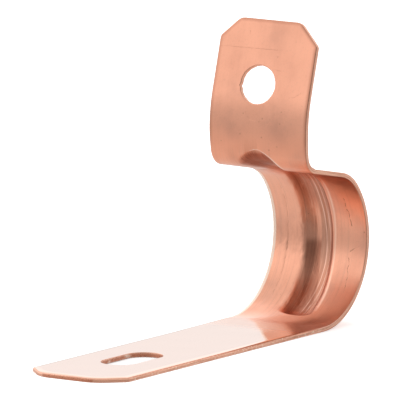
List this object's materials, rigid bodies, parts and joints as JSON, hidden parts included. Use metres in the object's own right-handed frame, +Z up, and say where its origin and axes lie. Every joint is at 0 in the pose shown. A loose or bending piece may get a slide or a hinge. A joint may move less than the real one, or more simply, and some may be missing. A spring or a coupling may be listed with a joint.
{
  "type": "cable clamp",
  "caption": "Bent copper strip that closes round a cable with one screw: long slotted leg, open loop with a pressed stiffening bead, short ear with a round hole.",
  "frame": {"origin": "centre of the bounding box, on the plane that the long leg rests on", "axes": "+X from the tip of the long leg towards the loop, +Y along the cable, +Z up"},
  "size_m": [0.0794, 0.019, 0.0528],
  "materials": {
    "copper": null
  },
  "bodies": {
    "root": {"clamp_strap": "copper"}
  },
  "joints": []
}
